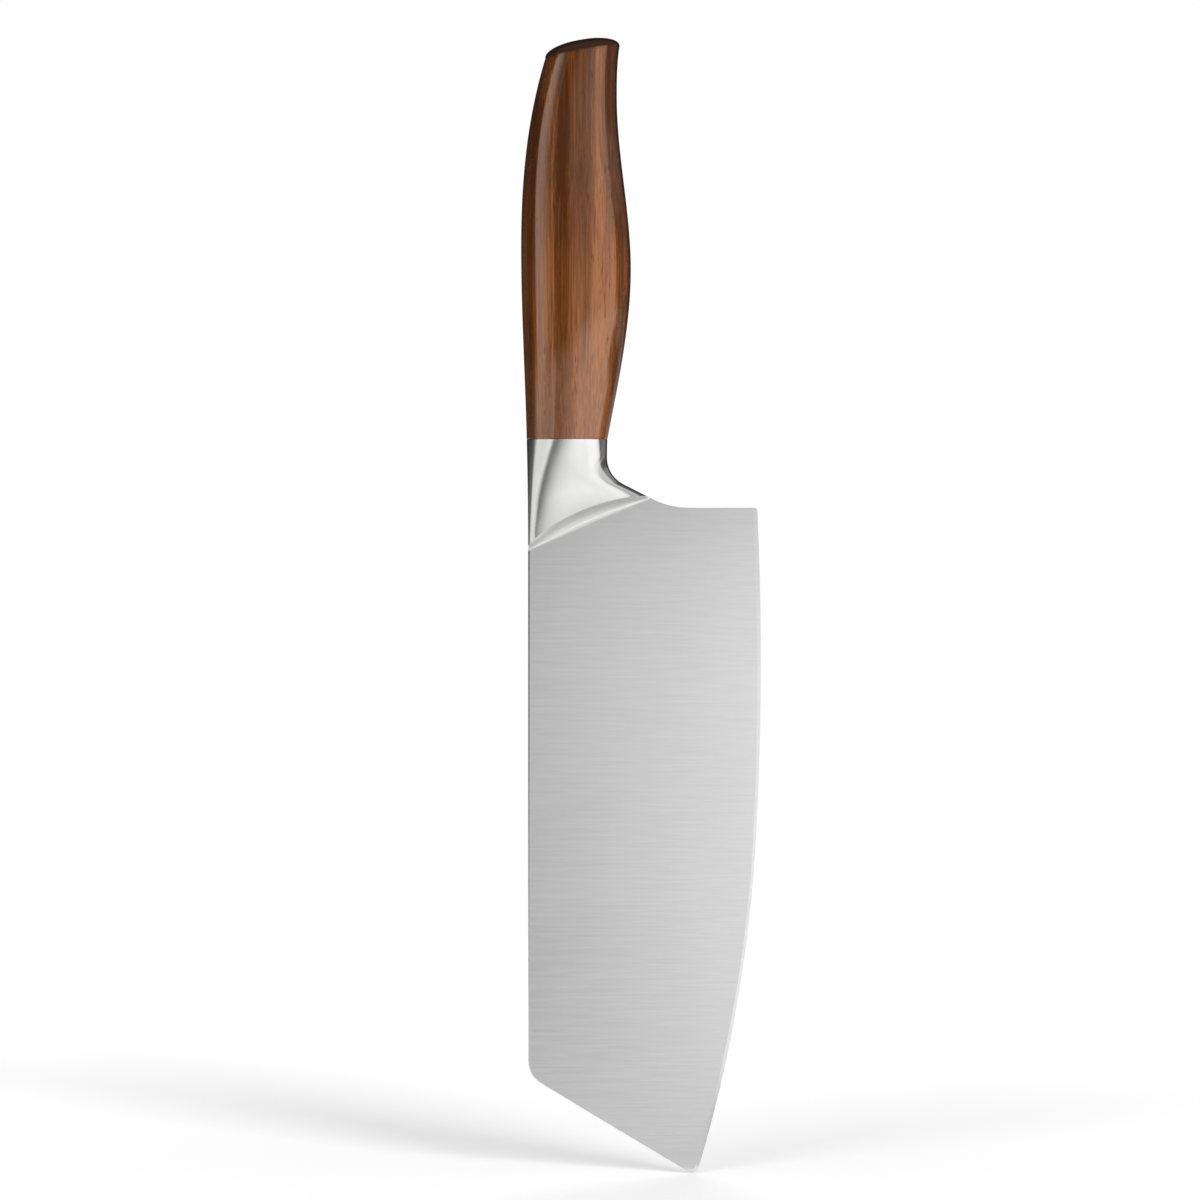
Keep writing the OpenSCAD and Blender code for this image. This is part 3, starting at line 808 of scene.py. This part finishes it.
@dataclass(frozen=True)
class Bolster:
    """The steel neck between plate and wood, with its curved ridge, hollow fillet, slot and rod seat."""

    layout: Layout
    neck_drop: float = 5.2
    neck_width: float = 22.5
    neck_radius: float = 8.5
    neck_angle: float = 27.0
    rim_back_drop: float = 12.3
    rim_front_run: float = 8.9
    rim_end_width: float = 1.4
    rim_step: float = 0.12
    ridge_height: float = 3.0
    ridge_roundness: float = 3.0
    fillet_hollow: float = 2.2
    neck_taper: float = 1.15
    rim_back_line: tuple[float, float] = (22.4, 12.1)
    rim_front_line: tuple[float, float] = (21.2, 15.0)
    ridge_back_line: tuple[float, float] = (54.3, 6.0)
    ridge_front_line: tuple[float, float] = (0.0, 14.7)
    rod_seat: float = 9.0
    rod_play: float = 0.03
    tongue_width: float = 13.0
    tongue_web: float = 3.0
    tongue_step: float = 0.3
    slot_play: float = 0.05
    rows: int = 40
    fillet_rows: int = 14

    @property
    def neck_lengths(self) -> tuple[float, float, float]:
        """Lengths of the neck's three stretches: above the finger curve, round it, and down the slope."""
        return (self.neck_drop, self.neck_radius * math.radians(90 - self.neck_angle),
                self.rim_front_run - self.rim_end_width)

    def slope_point(self, run: float) -> Vector:
        """Return the point of the neck's slope at a run past the finger curve."""
        centre = Vector((self.layout.spine_x + self.neck_width + self.neck_radius,
                         self.layout.joint_z - self.neck_drop))
        return centre + self.neck_radius * heading(270 - self.neck_angle) + run * heading(-self.neck_angle)

    def neck_point(self, run: float) -> Vector:
        """Return the point of the front outline at a run down from the joint."""
        drop, curve, _ = self.neck_lengths
        neck_x = self.layout.spine_x + self.neck_width
        if run < drop:
            return Vector((mix(neck_x, self.layout.joint_front.x, (1 - run / drop) ** 2),
                           self.layout.joint_z - run))
        if run < drop + curve:
            centre = Vector((neck_x + self.neck_radius, self.layout.joint_z - drop))
            return centre + self.neck_radius * heading(180 + math.degrees((run - drop) / self.neck_radius))
        return self.slope_point(run - drop - curve)

    def line(self, back: Vector, back_line: tuple[float, float], front: Vector,
             front_line: tuple[float, float]) -> list[Vector]:
        """Return the control points of a line over the cheek.

        Args:
            back: Its end at the spine.
            back_line: Angle and reach with which it leaves the spine.
            front: Its end at the neck's slope.
            front_line: Angle and reach with which it comes in there.

        Returns:
            Four points of the side view.
        """
        return [back, back + back_line[1] * heading(back_line[0]),
                front - front_line[1] * heading(front_line[0]), front]

    @property
    def rim(self) -> list[Vector]:
        """Control points of the line where the fillet meets the cheek."""
        back = Vector((self.layout.spine_x, self.layout.blade_length - self.rim_back_drop))
        return self.line(back, self.rim_back_line, self.slope_point(self.rim_front_run), self.rim_front_line)

    @property
    def ridge(self) -> list[Vector]:
        """Control points of the ridge above the fillet."""
        back = Vector((self.layout.spine_x,
                       self.layout.blade_length - self.rim_back_drop + self.rim_end_width))
        front = self.slope_point(self.neck_lengths[2])
        return self.line(back, self.ridge_back_line, front, self.ridge_front_line)

    def flank_point(self, u: float, v: float) -> Vector:
        """Return the place across and down the flank, spanned between its four outlines."""
        joint_back, joint_front = self.layout.joint_back, self.layout.joint_front
        ridge = self.ridge
        back = Vector((mix(self.layout.spine_x, joint_back.x, (1 - v) ** 2),
                       mix(joint_back.y, ridge[0].y, v)))
        front = self.neck_point(v * sum(self.neck_lengths))
        corners = mix(mix(joint_back, joint_front, u), mix(ridge[0], ridge[3], u), v)
        return mix(mix(joint_back, joint_front, u), bezier(ridge, u), v) + mix(back, front, u) - corners

    def flank_half(self, u: float, v: float) -> float:
        """Return half the thickness across and down the flank."""
        rim = self.layout.cheek_half(self.flank_point(u, v)) + self.rim_step
        ridge = self.layout.cheek_half(self.flank_point(0.5, 1)) + self.ridge_height
        crest = mix(self.layout.joint_thickness / 2, ridge, 1 - (1 - v) ** self.neck_taper)
        roundness = mix(self.layout.section_roundness, self.ridge_roundness, v)
        return mix(mix(self.layout.seam_half, rim, v), crest, arch(u, roundness))

    def flank_ring(self, v: float) -> list[Vector]:
        """Return the ring at a share of the way down the flank."""
        return ring_across(lambda u: self.flank_point(u, v), lambda u: self.flank_half(u, v))

    def fillet_point(self, u: float, t: float) -> Vector:
        """Return the place across and down the fillet."""
        return mix(bezier(self.ridge, u), bezier(self.rim, u), t)

    def fillet_half(self, u: float, t: float) -> float:
        """Return half the thickness across and down the hollow fillet."""
        foot = self.layout.cheek_half(self.fillet_point(u, t)) + self.rim_step
        height = self.flank_half(u, 1) - self.layout.cheek_half(self.fillet_point(u, 0)) - self.rim_step
        return foot + height * (1 - t) ** self.fillet_hollow

    def fillet_ring(self, t: float) -> list[Vector]:
        """Return the ring at a share of the way down the fillet."""
        return ring_across(lambda u: self.fillet_point(u, t), lambda u: self.fillet_half(u, t))

    def rim_height(self, x: float) -> float:
        """Return how high the rim lies at a place across the blade."""
        low, high = 0.0, 1.0
        for _ in range(HALVINGS):
            middle = (low + high) / 2
            low, high = (middle, high) if bezier(self.rim, middle).x < x else (low, middle)
        return bezier(self.rim, low).y

    def slot_ring(self, height: Callable[[float], float]) -> list[Vector]:
        """Return a ring round the tongue's slot, at the height that each place across has."""
        reach = self.tongue_width / 2 + self.slot_play
        middle = self.layout.rod_point(0).x
        grow = self.slot_play - self.tongue_step

        def place(u: float) -> Vector:
            """Return the point of the slot at a share across."""
            x = mix(middle - reach, middle + reach, u)
            return Vector((x, height(x)))

        return ring_across(place, lambda u: self.layout.cheek_half(place(u)) + grow)

    def build(self, finish: Finish) -> bpy.types.Object:
        """Return the bolster in a finish, lofted from the rod's seat, over the boss and down to the slot."""
        layout = self.layout
        seat = layout.rod_diameter + 2 * self.rod_play
        boss = (layout.boss_width, layout.boss_thickness)
        loft = Loft("neck", [layout.rod_point(-self.rod_seat)] * RING_POINTS)
        loft.draw(ring_level(layout.rod_point(-self.rod_seat), seat, seat), crisp=True)
        loft.draw(ring_level(layout.rod_point(layout.boss_height), seat, seat), crisp=True)
        loft.draw(ring_level(layout.rod_point(layout.boss_height), *boss), crisp=True)
        loft.draw(ring_level(layout.rod_point(0), *boss), crisp=True)
        loft.draw(layout.joint_ring(), crisp=True)
        start = layout.joint_chamfer / sum(self.neck_lengths)
        for row in range(self.rows + 1):
            loft.draw(self.flank_ring(mix(start, 1.0, row / self.rows)), crisp=row in (0, self.rows))
        for row in range(1, self.fillet_rows + 1):
            loft.draw(self.fillet_ring(row / self.fillet_rows), crisp=row == self.fillet_rows)
        top = layout.joint_z - self.rod_seat - self.tongue_web + self.slot_play
        loft.draw(self.slot_ring(self.rim_height), crisp=True)
        loft.draw(self.slot_ring(lambda x: top), crisp=True)
        return loft.close(Vector((layout.rod_point(0).x, 0, top)), finish)


class SeenBy(Enum):
    """Which rays a studio piece meets."""

    EVERYTHING = "everything"
    REFLECTIONS = "reflections"


@dataclass(frozen=True)
class Screen:
    """A curved studio card that stands round the knife between two azimuths, in metres.

    Azimuths are measured from the camera's side, and run to the right. Two tones fade into each other between
    two azimuths more.
    """

    name: str
    start: float
    end: float
    distance: float
    bottom: float
    top: float
    tones: tuple[float, ...]
    fade: tuple[float, float] = (-90.0, 90.0)

    def build(self) -> None:
        """Sweep an upright edge round the knife."""
        card = bmesh.new()
        turn = math.radians(self.start)
        foot = Vector((math.sin(turn), -math.cos(turn), 0)) * self.distance
        ends = [card.verts.new(foot + Vector((0, 0, height))) for height in (self.bottom, self.top)]
        edge = card.edges.new(ends)
        bmesh.ops.spin(card, geom=[*ends, edge], axis=(0, 0, 1), cent=(0, 0, 0), steps=SCREEN_STEPS,
                       angle=math.radians(self.end - self.start), use_duplicate=False)
        fade = tuple(math.sin(math.radians(azimuth)) * self.distance for azimuth in self.fade)
        stage_object(self.name, card, CardSurface(self.name, self.tones, fade), SeenBy.REFLECTIONS)


@dataclass(frozen=True)
class LevelCard:
    """A level studio card over or under the knife, in metres."""

    name: str
    centre: tuple[float, float, float]
    width: float
    depth: float
    tone: float

    def build(self) -> None:
        """Lay the card."""
        card = bmesh.new()
        bmesh.ops.create_grid(card, x_segments=1, y_segments=1, size=0.5)
        bmesh.ops.scale(card, vec=(self.width, self.depth, 1), verts=card.verts)
        bmesh.ops.translate(card, vec=self.centre, verts=card.verts)
        stage_object(self.name, card, CardSurface(self.name, (self.tone,)), SeenBy.REFLECTIONS)


def stage_object(name: str, shape: bmesh.types.BMesh, finish: Finish, seen_by: SeenBy) -> None:
    """Make an object of the studio, which isn't part of the knife.

    Args:
        name: The object's name.
        shape: Its mesh, which is used up.
        finish: The finish that it wears.
        seen_by: Which rays meet it.
    """
    made = add_shape(name, shape, finish)
    if seen_by is SeenBy.REFLECTIONS:
        made.visible_camera = made.visible_diffuse = made.visible_shadow = made.visible_transmission = False


@dataclass(frozen=True)
class Softbox:
    """A large rectangular lamp with even light, in metres. Gloss shows the studio's cards in its place."""

    name: str
    azimuth: float
    radiance: float
    distance: float = 3.3
    height: float = 1.2
    width: float = 1.5
    tall: float = 1.5

    def build(self) -> None:
        """Hang the lamp upright, facing the knife."""
        lamp = bpy.data.lights.new(self.name, "AREA")
        lamp.shape = "RECTANGLE"
        lamp.size, lamp.size_y = self.width, self.tall
        lamp.energy = self.radiance * math.pi * self.width * self.tall
        made = add_object(self.name, lamp)
        turn = math.radians(self.azimuth)
        made.location = (math.sin(turn) * self.distance, -math.cos(turn) * self.distance, self.height)
        made.rotation_euler = (math.radians(90), 0, turn)
        made.visible_camera = made.visible_glossy = False


@dataclass(frozen=True)
class Studio:
    """The floor, cards, lamps, world and camera, in metres."""

    softboxes: tuple[Softbox, ...] = (
        Softbox("right softbox", 29.0, 18.0, width=1.08),
        Softbox("left softbox", -31.0, 6.0),
        Softbox("back softbox", 180.0, 6.0),
    )
    cards: tuple[Union[Screen, LevelCard], ...] = (
        # in front
        Screen("left glow", -70, -30, 1.0, 0.18, 1.05, (0.98, 0.05), (-56, -31)),
        Screen("right glow", -2, 68, 1.0, 0.2, 1.05, (0.25, 0.70), (-2, 52)),
        Screen("blade card", -24, 30, 0.42, 0.055, 0.213, (0.32, 1.12), (-20, 19)),
        Screen("low blade card", -24, 30, 0.2, 0.0, 0.068, (0.44, 0.92), (-21, 19)),
        Screen("bolster card", -24, 36, 0.42, 0.0, 0.055, (0.12, 1.0), (-15, 15)),
        Screen("wood flag", -30, 1, 0.42, 0.213, 0.75, (0.04, 0.30), (-12, 0)),
        Screen("low flag", -42, -13.5, 0.41, 0.0, 0.075, (0.07,)),
        # at the sides
        Screen("left flag", -135, -70, 0.85, 0.205, 1.2, (0.03,)),
        Screen("right flag", 68, 135, 0.85, 0.205, 0.45, (0.09,)),
        Screen("high right flag", 68, 135, 0.85, 0.45, 1.2, (0.26,)),
        Screen("left strip card", -78, -26, 0.85, 0.0, 0.18, (0.80,)),
        Screen("left spine card", -86, -78, 0.85, 0.0, 0.205, (0.4,)),
        Screen("left low flag", -150, -86, 0.85, 0.0, 0.205, (0.15,)),
        Screen("right strip card", 80, 104, 0.85, 0.0, 0.205, (0.42,)),
        Screen("right low flag", 104, 150, 0.85, 0.0, 0.205, (0.24,)),
        Screen("right wood flag", 86, 125, 0.84, 0.05, 0.14, (0.05,)),
        Screen("front wood flag", 68, 86, 0.84, 0.09, 0.17, (0.08,)),
        # behind
        Screen("back flag", 135, 225, 0.85, 0.195, 1.2, (0.02,)),
        Screen("back card", 150, 210, 0.85, 0.0, 0.195, (0.30,)),
        # on the floor and overhead
        LevelCard("foot card", (0.066, -0.035, 0.001), 0.044, 0.09, 0.44),
        LevelCard("toe card", (0.0, -0.098, 0.001), 0.16, 0.188, 0.69),
        LevelCard("dark ceiling", (0, 0, 1.2), 3.2, 3.2, 0.10),
    )
    floor_reach: float = 60.0
    ambient: float = 0.22
    camera_distance: float = 1.5
    camera_place: tuple[float, float] = (-0.0117, 0.1635)
    frame_width: float = 0.3423
    sensor: float = 36.0

    def build_floor(self) -> None:
        """Lay the paper that the knife stands on."""
        sheet = bmesh.new()
        bmesh.ops.create_grid(sheet, x_segments=FLOOR_CELLS, y_segments=FLOOR_CELLS, size=self.floor_reach)
        stage_object("paper floor", sheet, StudioFloor(), SeenBy.EVERYTHING)

    def light_world(self) -> None:
        """Fill the room softly, and show it plain white as a background."""
        world = bpy.data.worlds.new("room")
        world.use_nodes = True
        bpy.context.scene.world = world
        graph = Graph(world.node_tree)
        seen = sees_background(graph)
        room = graph.node("Background", {}, {"Color": WHITE, "Strength": seen.along(self.ambient, 1)})
        graph.node("OutputWorld", {}, {"Surface": room})

    def set_camera(self) -> None:
        """Put the camera where the photograph was taken from."""
        camera = bpy.data.cameras.new("camera")
        camera.sensor_width = self.sensor
        camera.lens = self.sensor * self.camera_distance / self.frame_width
        camera.clip_end = VIEW_LIMIT
        made = add_object("camera", camera)
        made.location = (self.camera_place[0], -self.camera_distance, self.camera_place[1])
        made.rotation_euler = (math.radians(90), 0, 0)
        bpy.context.scene.camera = made

    def build(self) -> None:
        """Build the whole studio."""
        self.set_camera()
        self.light_world()
        self.build_floor()
        for piece in (*self.softboxes, *self.cards):
            piece.build()
        bpy.context.scene.view_settings.view_transform = "Standard"


def dress(solid: bpy.types.Object, finish: Finish) -> None:
    """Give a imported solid, whose shape is right as it is, its finish."""
    material = finish.material()
    for slot in solid.material_slots:
        slot.material = material
    log.info("%s dressed in %s", solid.name, finish.name)


def seat(piece: bpy.types.Object, node: str, slot: str) -> None:
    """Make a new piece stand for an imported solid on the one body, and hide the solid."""
    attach(piece, "root")
    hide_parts(node)
    log.info("%s replaces %s: %d faces", piece.name, node, len(piece.data.polygons))


def main() -> None:
    """Load the frame, dress every piece and build the studio, logging each step."""
    logging.basicConfig(level=logging.INFO, format="%(name)s: %(message)s")
    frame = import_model()
    layout = Layout()
    for name, finish in (("blade", BrushedSteel()), ("tang_rod", TurnedSteel()), ("adhesive", SetResin())):
        dress(frame["nodes"][name], finish)
    handle = Handle(layout)
    wood = LacqueredWood(handle.butt_middle, handle.butt_tilt)
    seat(Bolster(layout).build(SatinSteel()), "bolster", "bolster_steel")
    seat(handle.build(wood), "handle", "handle_wood")
    Studio().build()
    log.info("studio built")


if __name__ == "__main__":
    main()
